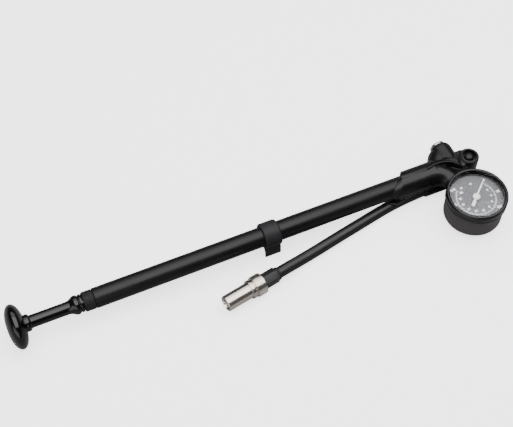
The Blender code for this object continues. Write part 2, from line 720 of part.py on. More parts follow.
BLACK_ANODISED = material("black_anodised", (0.018, 0.018, 0.02), 0.38, 0.6)
BLACK_HEAD = material("black_head", (0.02, 0.02, 0.022), 0.36, 0.1)
BLACK_CASE = material("black_case", (0.025, 0.024, 0.025), 0.45)
BLACK_METAL = material("black_metal", (0.02, 0.02, 0.02), 0.4, 0.8)
BLACK_PLASTIC = material("black_plastic", (0.02, 0.02, 0.02), 0.5)
GLOSS_BLACK = material("gloss_black", (0.012, 0.012, 0.014), 0.16)
MATT_BLACK = material("matt_black", (0.03, 0.03, 0.032), 0.65)
GREY_PLASTIC = material("grey_plastic", (0.055, 0.055, 0.06), 0.6)
RUBBER = material("rubber", (0.015, 0.015, 0.016), 0.7)
NICKEL = material("nickel", (0.62, 0.58, 0.53), 0.25, 1.0)
BRASS = material("brass", (0.7, 0.52, 0.25), 0.35, 1.0)
BRONZE = material("bronze", (0.55, 0.38, 0.2), 0.45, 1.0)
POLISHED_STEEL = material("polished_steel", (0.6, 0.6, 0.62), 0.2, 1.0)
DIAL_GREY = material("dial_grey", (0.12, 0.12, 0.13), 0.5)
CREAM = material("cream", (0.85, 0.83, 0.76), 0.45)
CLEAR = material("clear", (0.95, 0.97, 1.0), 0.05, 0.0, 0.25)

LAYOUT = new_empty("pump_layout", None, (-sum(EXTENT_X) / 2, -sum(EXTENT_Y) / 2, 0.0))
BARREL_AXIS = new_empty("barrel_axis", LAYOUT, (0.0, 0.0, AXIS_Z), ALONG_X)
PLUNGER_AXIS = new_empty("plunger_axis", LAYOUT, (0.0, 0.0, AXIS_Z), ALONG_X)
BALL_AXIS = new_empty("ball_axis", LAYOUT, (BALL_X, 0.0, AXIS_Z), ALONG_X)
CLIP_AXIS = new_empty("clip_axis", LAYOUT, (0.0, 0.0, AXIS_Z))
BUTTON_AXIS = new_empty("button_axis", LAYOUT, (LOBE_X, LOBE_Y, 0.0))
GAUGE_AXIS = new_empty("gauge_axis", LAYOUT, (GAUGE_X, GAUGE_Y, 0.0))
NEEDLE_AXIS = new_empty("needle_axis", GAUGE_AXIS, (0.0, 0.0, 0.0), (0.0, 0.0, NEEDLE_REST))
CENTRES = GEAR_PITCH * (PINION_TEETH + SECTOR_TEETH) / (2 * math.pi)
SECTOR_AXIS = new_empty(
    "sector_axis",
    GAUGE_AXIS,
    (CENTRES * math.cos(SECTOR_DIRECTION), CENTRES * math.sin(SECTOR_DIRECTION), 0.0),
    (0.0, 0.0, SECTOR_DIRECTION + math.pi),
)
CHUCK_AXIS = new_empty("chuck_axis", LAYOUT, CHUCK_END, (0.0, -math.pi / 2, CHUCK_YAW))

HOSE_PATH = smooth_path([Vector(point) * MM for point in HOSE_ROUTE], HOSE_POINT_SPACING)

make_barrel(BARREL_AXIS)
make_plunger(PLUNGER_AXIS)
make_check_valve(BARREL_AXIS, BALL_AXIS)
make_clip(CLIP_AXIS)
make_head_body(LAYOUT, HOSE_PATH)
make_head_fittings(LAYOUT)
make_bleed_valve(LAYOUT, BUTTON_AXIS)
make_gauge_case(GAUGE_AXIS)
make_gauge_works(GAUGE_AXIS, NEEDLE_AXIS, SECTOR_AXIS)
place(tube("hose", HOSE_PATH, HOSE_R, 3), LAYOUT, RUBBER)
make_hose_end(CHUCK_AXIS)
make_chuck(CHUCK_AXIS)
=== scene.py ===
import json
import math

import bpy
from mathutils import Matrix, Vector


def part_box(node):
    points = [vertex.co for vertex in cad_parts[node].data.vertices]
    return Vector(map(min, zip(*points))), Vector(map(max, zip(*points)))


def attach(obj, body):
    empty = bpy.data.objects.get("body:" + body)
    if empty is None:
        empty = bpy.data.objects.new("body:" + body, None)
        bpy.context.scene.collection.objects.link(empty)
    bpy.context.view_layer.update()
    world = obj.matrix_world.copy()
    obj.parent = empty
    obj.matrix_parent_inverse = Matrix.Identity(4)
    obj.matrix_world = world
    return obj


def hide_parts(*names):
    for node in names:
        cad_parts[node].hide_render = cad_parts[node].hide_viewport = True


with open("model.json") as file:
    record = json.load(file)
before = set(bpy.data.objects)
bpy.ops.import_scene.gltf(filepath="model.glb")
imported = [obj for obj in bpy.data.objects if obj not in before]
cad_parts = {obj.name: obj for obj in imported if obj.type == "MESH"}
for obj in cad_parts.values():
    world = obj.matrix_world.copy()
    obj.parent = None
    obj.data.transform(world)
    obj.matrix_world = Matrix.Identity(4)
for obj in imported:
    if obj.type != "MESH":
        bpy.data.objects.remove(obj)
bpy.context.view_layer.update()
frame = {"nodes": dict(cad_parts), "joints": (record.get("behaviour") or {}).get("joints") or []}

MM = 0.001
ROUND = 96
FINE = 48
MERGE = 0.002 * MM
RING_TOLERANCE = 0.01 * MM

# The pump's own layout: x along the barrel from the knurled cap, y away from the gauge, z up
CAP_START = -0.4 * MM
BARREL_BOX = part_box("barrel_tube")
BARREL_R = (BARREL_BOX[1].z - BARREL_BOX[0].z) / 2
AXIS_Z = (BARREL_BOX[0].z + BARREL_BOX[1].z) / 2
ORIGIN = Vector((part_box("barrel_end_cap")[0].x - CAP_START, (BARREL_BOX[0].y + BARREL_BOX[1].y) / 2, 0.0))
GAUGE_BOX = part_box("gauge_bezel")
GAUGE = Vector(((GAUGE_BOX[0].x + GAUGE_BOX[1].x) / 2, (GAUGE_BOX[0].y + GAUGE_BOX[1].y) / 2, 0.0))
JOINTS = {joint["name"]: joint for joint in frame["joints"]}
CHUCK_POINT = Vector(JOINTS["chuck_turn"]["pos_m"])
CHUCK_DIRECTION = Vector(JOINTS["chuck_turn"]["axis"]).normalized()

# Head, in the layout, in mm
SLEEVE_START = 210.7
RAMP_END = 213.9
SLEEVE_R = 8.1
BODY_R = 8.55
BOSS_X = 250.8
BOSS_Z = 14.8
LOBE_X = 264.6
LOBE_Y = 1.0
SOCKET_Y = -3.7
SOCKET_Z = 5.0
HOSE_ROOM_R = 3.95
FLARE_YAW = math.radians(-30.0)
# How far a ring of the head leans along x for each mm across
RAMP_LEAN = 0.5
SLEEVE_LEAN = 1.0
SHELL_LEAN = 0.6

# Gauge
STEM_Z = 12.0 * MM
NEEDLE_Z = 20.5 * MM

# Dial: angles run from +x, seen from above
ZERO_ANGLE = math.radians(42.0)
SCALE_SWEEP = math.radians(270.0)
DIAL_FOOT = math.radians(95.0)
DIAL_TOP_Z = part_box("gauge_dial")[1].z
PRINT_LOW = 0.01
PRINT_HIGH = 0.04

# Strength of the light that the floor gives off from below
FLOOR_GLOW = 2.0

HOSE_R = 3.7 * MM
HOSE_ROUTE = [
    (236.3, -3.7, 5.0),
    (231.0, -3.75, 4.95),
    (221.0, -4.05, 4.5),
    (212.0, -4.6, 4.1),
    (203.0, -5.7, 3.9),
    (195.0, -7.1, 3.8),
    (180.0, -10.1, 3.75),
    (164.7, -13.2, 3.75),
    (150.0, -16.3, 3.8),
    (141.0, -18.3, 4.15),
    (133.0, -20.2, 4.95),
    (125.0, -22.15, 6.0),
    (117.5, -23.95, 6.75),
    (112.0, -25.0, 6.85),
    (107.3, -25.9, 6.85),
]

ALONG_X = Matrix.Rotation(math.pi / 2, 4, "Y")
ALONG_Y = Matrix.Rotation(-math.pi / 2, 4, "X")


def at(x, y, z):
    """The matrix that moves a shape to a place in the layout, in mm."""
    return Matrix.Translation(ORIGIN + Vector((x, y, z)) * MM)


ON_LAYOUT = at(0.0, 0.0, 0.0)
ON_BOSS = at(BOSS_X, 0.0, BOSS_Z) @ ALONG_Y
ON_LOBE = at(LOBE_X, LOBE_Y, 0.0)
ON_SOCKET = at(0.0, SOCKET_Y, SOCKET_Z) @ ALONG_X
ON_BARREL = Matrix.Translation(ORIGIN + Vector((0.0, 0.0, AXIS_Z))) @ ALONG_X
ON_GAUGE = Matrix.Translation(GAUGE)
ON_CHUCK = Matrix.Translation(CHUCK_POINT) @ CHUCK_DIRECTION.to_track_quat("Z", "Y").to_matrix().to_4x4()


# ---------------------------------------------------------------- camera and hose


def add_camera():
    azimuth = math.radians(-25.17)
    elevation = math.radians(55.2)
    roll = math.radians(1.24)
    distance = 713 * MM
    target = ORIGIN + Vector((124.8, 26.8, -1.0)) * MM
    level = math.cos(elevation)
    back = Vector((math.sin(azimuth) * level, -math.cos(azimuth) * level, math.sin(elevation)))
    right = Vector((math.cos(azimuth), math.sin(azimuth), 0.0))
    up = back.cross(right)
    rolled_right = right * math.cos(roll) + up * math.sin(roll)
    rolled_up = up * math.cos(roll) - right * math.sin(roll)
    lens = bpy.data.cameras.new("studio_camera")
    lens.lens = 77.5
    lens.sensor_width = 36.0
    camera = bpy.data.objects.new("studio_camera", lens)
    bpy.context.scene.collection.objects.link(camera)
    turn = Matrix((rolled_right, rolled_up, back)).transposed().to_4x4()
    camera.matrix_world = Matrix.Translation(target + back * distance) @ turn
    bpy.context.scene.camera = camera


def smooth_route(points, spacing):
    """A smooth curve through the points, sampled about every `spacing`."""
    ends = [points[0] * 2 - points[1]] + points + [points[-1] * 2 - points[-2]]
    path = []
    for a, b, c, d in zip(ends, ends[1:], ends[2:], ends[3:]):
        count = max(1, round((c - b).length / spacing))
        for index in range(count):
            t = index / count
            quadratic = 2 * a - 5 * b + 4 * c - d
            cubic = 3 * b - a - 3 * c + d
            path.append(b + 0.5 * ((c - a) * t + quadratic * t**2 + cubic * t**3))
    path.append(points[-1])
    return path


def hose_curve(name, points, radius):
    line = bpy.data.curves.new(name, "CURVE")
    line.dimensions = "3D"
    line.bevel_depth = radius
    line.bevel_resolution = 10
    line.use_fill_caps = True
    spline = line.splines.new("POLY")
    spline.points.add(len(points) - 1)
    for point, place in zip(spline.points, points):
        point.co = (*place, 1.0)
    spline.use_smooth = True
    hose = bpy.data.objects.new(name, line)
    bpy.context.scene.collection.objects.link(hose)
    return hose


# ---------------------------------------------------------------- finishes


def new_group(name, inputs, outputs):
    group = bpy.data.node_groups.new(name, "ShaderNodeTree")
    for label, kind, value in inputs:
        socket = group.interface.new_socket(label, in_out="INPUT", socket_type=kind)
        socket.default_value = value
    for label, kind in outputs:
        group.interface.new_socket(label, in_out="OUTPUT", socket_type=kind)
    return group, group.nodes.new("NodeGroupInput"), group.nodes.new("NodeGroupOutput")


def wire(tree, start, start_socket, end, end_socket):
    tree.links.new(start.outputs[start_socket], end.inputs[end_socket])


def build_skin_group():
    """Fine grain and slow drifts of a surface: a mask that shades colour and roughness, and a normal."""
    group, given, result = new_group(
        "surface_skin",
        [
            ("Grain Scale", "NodeSocketFloat", 2000.0),
            ("Grain Depth", "NodeSocketFloat", 0.2),
            ("Drift Scale", "NodeSocketFloat", 60.0),
        ],
        [("Drift", "NodeSocketFloat"), ("Grain", "NodeSocketFloat"), ("Normal", "NodeSocketVector")],
    )
    place = group.nodes.new("ShaderNodeTexCoord")
    grain = group.nodes.new("ShaderNodeTexNoise")
    grain.inputs["Detail"].default_value = 3.0
    drift = group.nodes.new("ShaderNodeTexNoise")
    drift.inputs["Detail"].default_value = 5.0
    drift.inputs["Roughness"].default_value = 0.6
    bump = group.nodes.new("ShaderNodeBump")
    bump.inputs["Distance"].default_value = 0.0001
    for noise in (grain, drift):
        wire(group, place, "Object", noise, "Vector")
    wire(group, given, "Grain Scale", grain, "Scale")
    wire(group, given, "Drift Scale", drift, "Scale")
    wire(group, given, "Grain Depth", bump, "Strength")
    wire(group, grain, "Fac", bump, "Height")
    wire(group, drift, "Fac", result, "Drift")
    wire(group, grain, "Fac", result, "Grain")
    wire(group, bump, "Normal", result, "Normal")
    return group


def build_wear_group():
    """Where sharp outer edges have rubbed: 0 on flat stretches, up to 1 on edges, broken up by noise."""
    group, given, result = new_group(
        "edge_wear",
        [("Reach", "NodeSocketFloat", 0.56), ("Break Up", "NodeSocketFloat", 400.0)],
        [("Worn", "NodeSocketFloat")],
    )
    shape = group.nodes.new("ShaderNodeNewGeometry")
    place = group.nodes.new("ShaderNodeTexCoord")
    noise = group.nodes.new("ShaderNodeTexNoise")
    noise.inputs["Detail"].default_value = 4.0
    edge = group.nodes.new("ShaderNodeMapRange")
    edge.inputs["To Min"].default_value = 0.0
    far = group.nodes.new("ShaderNodeMath")
    far.operation = "ADD"
    far.inputs[1].default_value = 0.08
    times = group.nodes.new("ShaderNodeMath")
    times.operation = "MULTIPLY"
    wire(group, place, "Object", noise, "Vector")
    wire(group, given, "Break Up", noise, "Scale")
    wire(group, given, "Reach", edge, "From Min")
    wire(group, given, "Reach", far, 0)
    wire(group, far, "Value", edge, "From Max")
    wire(group, shape, "Pointiness", edge, "Value")
    wire(group, edge, "Result", times, 0)
    wire(group, noise, "Fac", times, 1)
    wire(group, times, "Value", result, "Worn")
    return group


def blend_colours(tree, first, second):
    mix = tree.nodes.new("ShaderNodeMix")
    mix.data_type = "RGBA"
    mix.inputs["A"].default_value = (*first, 1.0)
    mix.inputs["B"].default_value = (*second, 1.0)
    return mix


def finish(name, dark, light, rough, grain=(2000.0, 0.2), drift=60.0, metallic=0.0, worn=None, shine=0.5):
    """A finish that drifts between two colours and roughnesses, with its own grain and, on edges, wear."""
    look = bpy.data.materials.new(name)
    look.use_nodes = True
    tree = look.node_tree
    shader = tree.nodes["Principled BSDF"]
    skin = tree.nodes.new("ShaderNodeGroup")
    skin.node_tree = SKIN
    skin.inputs["Grain Scale"].default_value = grain[0]
    skin.inputs["Grain Depth"].default_value = grain[1]
    skin.inputs["Drift Scale"].default_value = drift
    colour = blend_colours(tree, dark, light)
    wire(tree, skin, "Drift", colour, "Factor")
    last = colour
    if worn:
        wear = tree.nodes.new("ShaderNodeGroup")
        wear.node_tree = WEAR
        rubbed = blend_colours(tree, dark, worn)
        wire(tree, wear, "Worn", rubbed, "Factor")
        tree.links.new(colour.outputs["Result"], rubbed.inputs["A"])
        last = rubbed
    tree.links.new(last.outputs["Result"], shader.inputs["Base Color"])
    spread = tree.nodes.new("ShaderNodeMapRange")
    spread.inputs["From Min"].default_value = 0.3
    spread.inputs["From Max"].default_value = 0.7
    spread.inputs["To Min"].default_value = rough[0]
    spread.inputs["To Max"].default_value = rough[1]
    wire(tree, skin, "Drift", spread, "Value")
    wire(tree, spread, "Result", shader, "Roughness")
    wire(tree, skin, "Normal", shader, "Normal")
    shader.inputs["Metallic"].default_value = metallic
    shader.inputs["Specular IOR Level"].default_value = shine
    return look


def make_lens_finish():
    look = bpy.data.materials.new("clear_lens")
    look.use_nodes = True
    tree = look.node_tree
    shader = tree.nodes["Principled BSDF"]
    shader.inputs["Base Color"].default_value = (0.97, 0.98, 1.0, 1.0)
    shader.inputs["Transmission Weight"].default_value = 1.0
    shader.inputs["IOR"].default_value = 1.28
    smear = tree.nodes.new("ShaderNodeGroup")
    smear.node_tree = SKIN
    smear.inputs["Drift Scale"].default_value = 90.0
    spread = tree.nodes.new("ShaderNodeMapRange")
    spread.inputs["To Min"].default_value = 0.02
    spread.inputs["To Max"].default_value = 0.07
    wire(tree, smear, "Drift", spread, "Value")
    wire(tree, spread, "Result", shader, "Roughness")
    open_air = tree.nodes.new("ShaderNodeBsdfTransparent")
    ray = tree.nodes.new("ShaderNodeLightPath")
    choice = tree.nodes.new("ShaderNodeMixShader")
    wire(tree, ray, "Is Shadow Ray", choice, "Fac")
    tree.links.new(shader.outputs["BSDF"], choice.inputs[1])
    tree.links.new(open_air.outputs["BSDF"], choice.inputs[2])
    wire(tree, choice, "Shader", tree.nodes["Material Output"], "Surface")
    return look


# ---------------------------------------------------------------- modelling by hand


def select_nothing():
    if bpy.context.object and bpy.context.object.mode == "EDIT":
        bpy.ops.object.mode_set(mode="OBJECT")
    bpy.ops.object.select_all(action="DESELECT")


def draw_outline(points):
    """A chain of edges through the points, in metres, left selected in edit mode."""
    select_nothing()
    bpy.ops.mesh.primitive_plane_add(size=MM)
    bpy.ops.object.mode_set(mode="EDIT")
    bpy.ops.mesh.merge(type="CENTER")
    bpy.ops.transform.translate(value=points[0])
    for point, other in zip(points, points[1:]):
        bpy.ops.mesh.extrude_region_move(TRANSFORM_OT_translate={"value": other - point})
    bpy.ops.mesh.select_all(action="SELECT")


def put(name, place=Matrix(), soften=0.0, sharp=35.0, segments=3):
    """Ends the piece being modelled: softened edges, its place in its mesh, and its name."""
    if bpy.context.object.mode == "EDIT":
        bpy.ops.object.mode_set(mode="OBJECT")
    piece = bpy.context.object
    piece.name = name
    piece.data.name = name
    piece.matrix_world = place @ piece.matrix_world
    bpy.ops.object.transform_apply(location=True, rotation=True, scale=True)
    if soften:
        bevel = piece.modifiers.new("soften", "BEVEL")
        bevel.width = soften * MM
        bevel.segments = segments
        bevel.limit_method = "ANGLE"
        bevel.angle_limit = math.radians(24)
        bevel.use_clamp_overlap = True
        bpy.ops.object.modifier_apply(modifier="soften")
    bpy.ops.object.shade_smooth_by_angle(angle=math.radians(sharp))
    return piece


def turned(name, outline, place, steps=ROUND, soften=0.0):
    """A piece turned about z from its outline of (z, radius) in mm."""
    draw_outline([Vector((radius, 0.0, z)) * MM for z, radius in outline])
    bpy.ops.mesh.spin(steps=steps, angle=math.tau, center=(0.0, 0.0, 0.0), axis=(0.0, 0.0, 1.0))
    bpy.ops.mesh.select_all(action="SELECT")
    bpy.ops.mesh.remove_doubles(threshold=MERGE)
    bpy.ops.mesh.normals_make_consistent(inside=False)
    return put(name, place, soften)


def plate(name, outline, thickness, place, soften=0.0):
    """A flat plate with this outline in mm in x and y, rising by its thickness in mm."""
    draw_outline([Vector((x, y, 0.0)) * MM for x, y in outline])
    bpy.ops.mesh.edge_face_add()
    bpy.ops.mesh.extrude_region_move(TRANSFORM_OT_translate={"value": (0.0, 0.0, thickness * MM)})
    bpy.ops.mesh.select_all(action="SELECT")
    bpy.ops.mesh.normals_make_consistent(inside=False)
    return put(name, place, soften)


def brick(name, low, high, place, soften=0.0):
    """A box between two corners in mm, with softened edges."""
    select_nothing()
    size = [(b - a) * MM for a, b in zip(low, high)]
    middle = [(a + b) / 2 * MM for a, b in zip(low, high)]
    bpy.ops.mesh.primitive_cube_add(size=1.0, location=middle, scale=size)
    return put(name, place, soften)


def strip(name, points, radius, place):
    """A round bead along a smooth line through the points, in mm."""
    route = smooth_route([Vector(point) * MM for point in points], 0.8 * MM)
    bead = hose_curve(name, route, radius * MM)
    select_nothing()
    bead.select_set(True)
    bpy.context.view_layer.objects.active = bead
    bpy.ops.object.convert(target="MESH")
    bpy.ops.object.mode_set(mode="EDIT")
    bpy.ops.mesh.select_all(action="SELECT")
    bpy.ops.mesh.remove_doubles(threshold=MERGE)
    bpy.ops.mesh.normals_make_consistent(inside=False)
    return put(name, place)


def taper_strip(name, points):
    """A smooth round arm through (x, y, z, radius) points in mm, which thickens and thins along its way."""
    route = smooth_route([Vector(point) * MM for point in points], 1.0 * MM)
    arm = hose_curve(name, [step.xyz for step in route], MM)
    for point, step in zip(arm.data.splines[0].points, route):
        point.radius = step.w / MM
    select_nothing()
    arm.select_set(True)
    bpy.context.view_layer.objects.active = arm
    bpy.ops.object.convert(target="MESH")
    bpy.ops.object.mode_set(mode="EDIT")
    bpy.ops.mesh.select_all(action="SELECT")
    bpy.ops.mesh.normals_make_consistent(inside=False)
    return put(name, ON_LAYOUT)


def ring_outline(start, end, inner, outer):
    return [(start, inner), (start, outer), (end, outer), (end, inner), (start, inner)]


def rod_outline(start, end, radius):
    return [(start, 0.0), (start, radius), (end, radius), (end, 0.0)]


def copied(piece, turn):
    """Another of the same piece, with its own mesh, moved by a matrix."""
    other = piece.copy()
    other.data = piece.data.copy()
    other.data.transform(turn)
    bpy.context.scene.collection.objects.link(other)
    return other


def joined(name, pieces):
    select_nothing()
    for piece in pieces:
        piece.select_set(True)
    bpy.context.view_layer.objects.active = pieces[0]
    bpy.ops.object.join()
    pieces[0].name = name
    pieces[0].data.name = name
    return pieces[0]


def cut(piece, tool, keep_tool=False):
    select_nothing()
    bpy.context.view_layer.objects.active = piece
    piece.select_set(True)
    boolean = piece.modifiers.new("cut", "BOOLEAN")
    boolean.operation = "DIFFERENCE"
    boolean.object = tool
    bpy.ops.object.modifier_apply(modifier="cut")
    if not keep_tool:
        bpy.data.objects.remove(tool)
    return piece


def cast(piece, grain, rounds):
    """Melts overlapping lumps into one skin with soft inner corners, as in a casting or moulding."""
    select_nothing()
    bpy.context.view_layer.objects.active = piece
    piece.select_set(True)
    melt = piece.modifiers.new("melt", "REMESH")
    melt.mode = "VOXEL"
    melt.voxel_size = grain * MM
    relax = piece.modifiers.new("relax", "SMOOTH")
    relax.factor = 0.5
    relax.iterations = rounds
    bpy.ops.object.modifier_apply(modifier="melt")
    bpy.ops.object.modifier_apply(modifier="relax")
    return piece


def shade(piece, sharp=35.0):
    select_nothing()
    bpy.context.view_layer.objects.active = piece
    piece.select_set(True)
    bpy.ops.object.shade_smooth_by_angle(angle=math.radians(sharp))
    return piece


def dress(piece, look, body, slot, *nodes):
    """The piece's finish, the body that it rides on, and the CAD nodes that it stands for."""
    piece.data.materials.clear()
    piece.data.materials.append(look)
    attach(piece, body)
    if nodes:
        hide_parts(*nodes)
    return piece


def knurl(name, start, end, radius, around, rows, tooth, place):
    """Rows of small four-sided teeth around a turned band, each row set half a tooth on."""
    select_nothing()
    half_width, depth = (size * MM for size in tooth)
    bpy.ops.mesh.primitive_cone_add(
        vertices=4, radius1=half_width, radius2=0.25 * half_width, depth=depth, end_fill_type="NGON"
    )
    one = put("tooth", sharp=20.0)
    outwards = Matrix.Translation((radius * MM, 0.0, 0.0)) @ Matrix.Rotation(math.pi / 2, 4, "Y")
    teeth = []
    for row in range(rows):
        z = start + (end - start) * (row + 0.5) / rows
        for index in range(around):
            angle = math.tau * (index + 0.5 * (row % 2)) / around
            spot = Matrix.Rotation(angle, 4, "Z") @ Matrix.Translation((0.0, 0.0, z * MM)) @ outwards
            teeth.append(copied(one, place @ spot))
    bpy.data.objects.remove(one)
    return shade(joined(name, teeth), 20.0)


# ---------------------------------------------------------------- the pump's pieces


def make_barrel():
    tube = turned("barrel", ring_outline(6.5, 221.0, 5.35, BARREL_R / MM), ON_BARREL, soften=0.25)
    dress(tube, ANODISED, "pump", "black_anodised", "barrel_tube")
    cap = turned(
        "knurled_cap",
        [(14.0, 4.6), (14.0, 5.05), (6.2, 5.05), (6.2, 5.9), (5.8, 6.05), (0.0, 6.05), (-0.4, 5.6)]
        + [(-0.4, 4.9), (4.0, 4.9), (4.0, 3.3), (6.0, 3.3), (6.0, 4.6), (14.0, 4.6)],
        ON_BARREL,
        soften=0.12,
    )
    dress(cap, MATT_CAP, "pump", "matt_black", "barrel_end_cap")
    teeth = knurl("cap_knurl", 0.1, 6.0, 6.0, 30, 8, (0.62, 0.42), ON_BARREL)
    dress(teeth, MATT_CAP, "pump", "matt_black")
    wiper = turned(
        "rod_wiper",
        [(3.7, 3.25), (3.7, 4.6), (-0.3, 4.6), (-0.6, 4.4), (-0.6, 3.6), (-0.2, 3.25), (3.7, 3.25)],
        ON_BARREL,
        FINE,
        0.1,
    )
    dress(wiper, SEAL_RUBBER, "pump", "rubber", "rod_wiper_seal")


def make_handle():
    knob_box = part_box("handle_knob")
    middle = ((knob_box[0].x + knob_box[1].x) / 2 - ORIGIN.x) / MM
    half = (knob_box[1].x - knob_box[0].x) / 2 / MM
    knob_r = (knob_box[1].z - knob_box[0].z) / 2 / MM
    steps = 48
    fullness = 0.84
    dome = []
    for index in range(steps + 1):
        angle = math.pi * index / steps
        dome.append((middle + half * math.cos(angle), knob_r * math.sin(angle) ** fullness))
    knob = turned("handle_knob_round", dome, ON_BARREL)
    dress(knob, GLOSS, "plunger", "gloss_black", "handle_knob")
    neck = turned(
        "handle_stem",
        [(-0.75, 3.3), (-0.75, 5.2), (-1.0, 5.55), (-1.4, 5.62), (-2.1, 5.62), (-2.4, 5.5), (-2.6, 5.2)]
        + [(-2.85, 5.1), (-3.1, 5.25), (-3.4, 5.7), (-3.9, 5.95), (-4.5, 6.02), (-5.2, 5.97), (-6.0, 5.75)]
        + [(-6.8, 5.3), (-7.5, 4.85), (-8.3, 4.45), (-9.2, 4.15), (-10.5, 4.02), (-12.0, 4.0)]
        + [(-32.2, 4.0), (-32.8, 4.1), (-33.2, 4.4), (-33.5, 4.95), (-33.9, 5.2), (-34.5, 5.35)]
        + [(-35.0, 5.3), (-35.5, 5.2), (-36.5, 5.6), (-37.5, 5.6), (-37.5, 3.3), (-0.75, 3.3)],
        ON_BARREL,
        soften=0.1,
    )
    dress(neck, GLOSS, "plunger", "gloss_black", "handle_neck")
    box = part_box("plunger_rod")
    start, end = ((box[i].x - ORIGIN.x) / MM for i in (0, 1))
    rod = turned(
        "rod",
        [(start, 0.0), (start, 3.0), (end - 4.8, 3.0), (end - 4.8, 2.0), (end, 2.0), (end, 0.0)],
        ON_BARREL,
        soften=0.1,
    )
    dress(rod, STEEL, "plunger", "polished_steel", "plunger_rod")


def lean_ring(piece, ring_x, lean):
    """Slants the ring at this x of a piece on the barrel: each point moves along x by its y times `lean`."""
    select_nothing()
    bpy.context.view_layer.objects.active = piece
    piece.select_set(True)
    bpy.ops.object.mode_set(mode="EDIT")
    bpy.ops.mesh.select_all(action="DESELECT")
    bpy.ops.object.mode_set(mode="OBJECT")
    x = ORIGIN.x + ring_x * MM
    for vertex in piece.data.vertices:
        vertex.select = abs(vertex.co.x - x) < RING_TOLERANCE
    bpy.ops.object.mode_set(mode="EDIT")
    middle = (x, ORIGIN.y, AXIS_Z)
    turn = math.atan(lean)
    bpy.ops.transform.resize(value=(1.0, 1.0 / math.cos(turn), 1.0), center_override=middle)
    bpy.ops.transform.rotate(value=turn, orient_axis="Z", center_override=middle)
    bpy.ops.object.mode_set(mode="OBJECT")
    return piece


